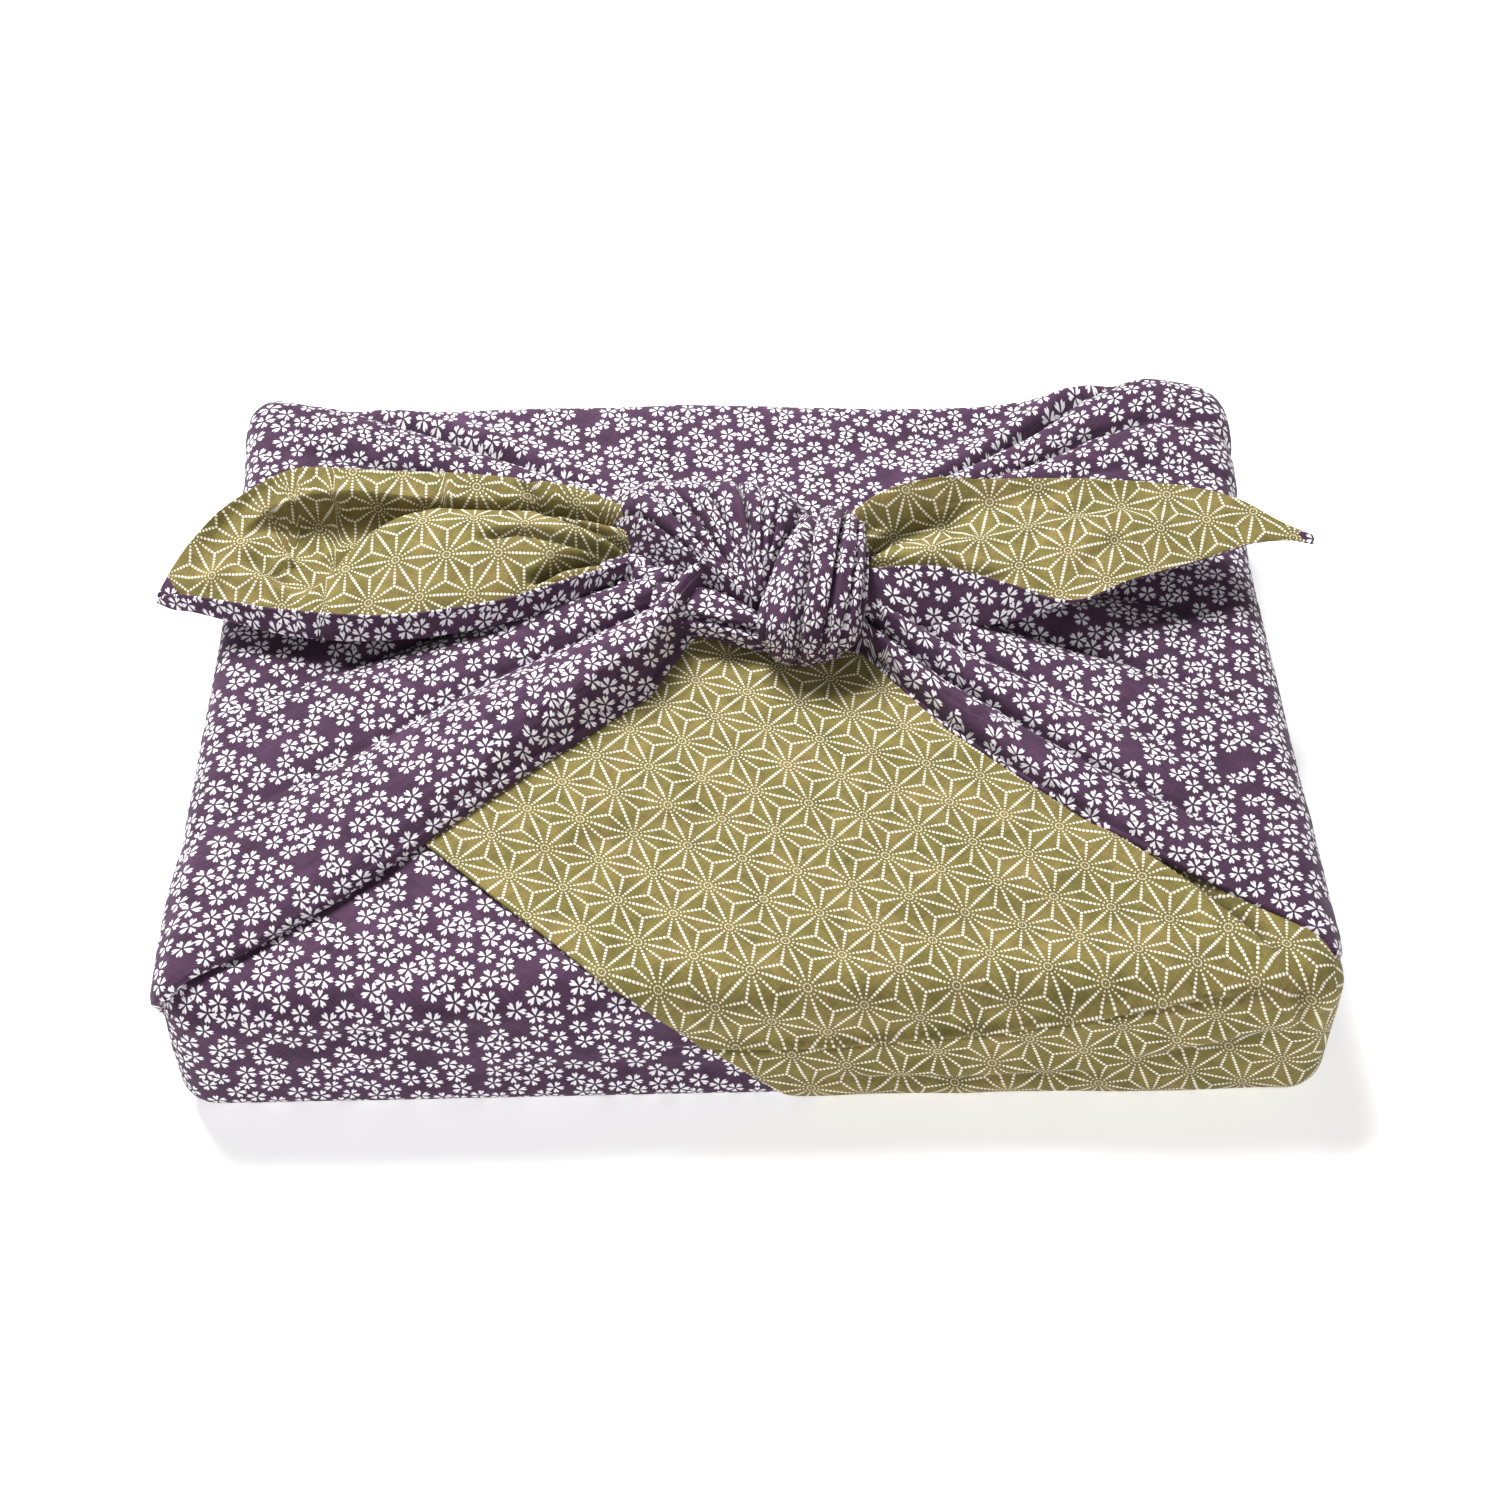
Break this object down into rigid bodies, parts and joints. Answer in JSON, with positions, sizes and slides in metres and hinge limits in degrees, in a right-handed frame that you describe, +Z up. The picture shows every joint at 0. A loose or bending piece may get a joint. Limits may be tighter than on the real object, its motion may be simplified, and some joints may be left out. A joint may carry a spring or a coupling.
{
  "type": "furoshiki wrap tied round a flat parcel",
  "caption": "Flat box-shaped parcel in a two-sided cotton cloth, its side corners gathered in folds to a square knot with free ends on top.",
  "frame": {"origin": "on the floor, under the middle of the box that bounds the wrapped parcel and its free corners", "axes": "+Z up; +X along the parcel's width, the way the two free corners point apart, to the right of someone who faces the turned back olive corner; +Y from that front side to the back"},
  "size_m": [0.3004, 0.2205, 0.0768],
  "materials": {
    "blossom_face": "matt plain weave cotton, purple with a small scattered white cherry blossom print",
    "hemp_leaf_face": "matt plain weave cotton, olive with a dotted cream hemp leaf lattice"
  },
  "bodies": {
    "root": {"furoshiki": "blossom_face"}
  },
  "joints": []
}
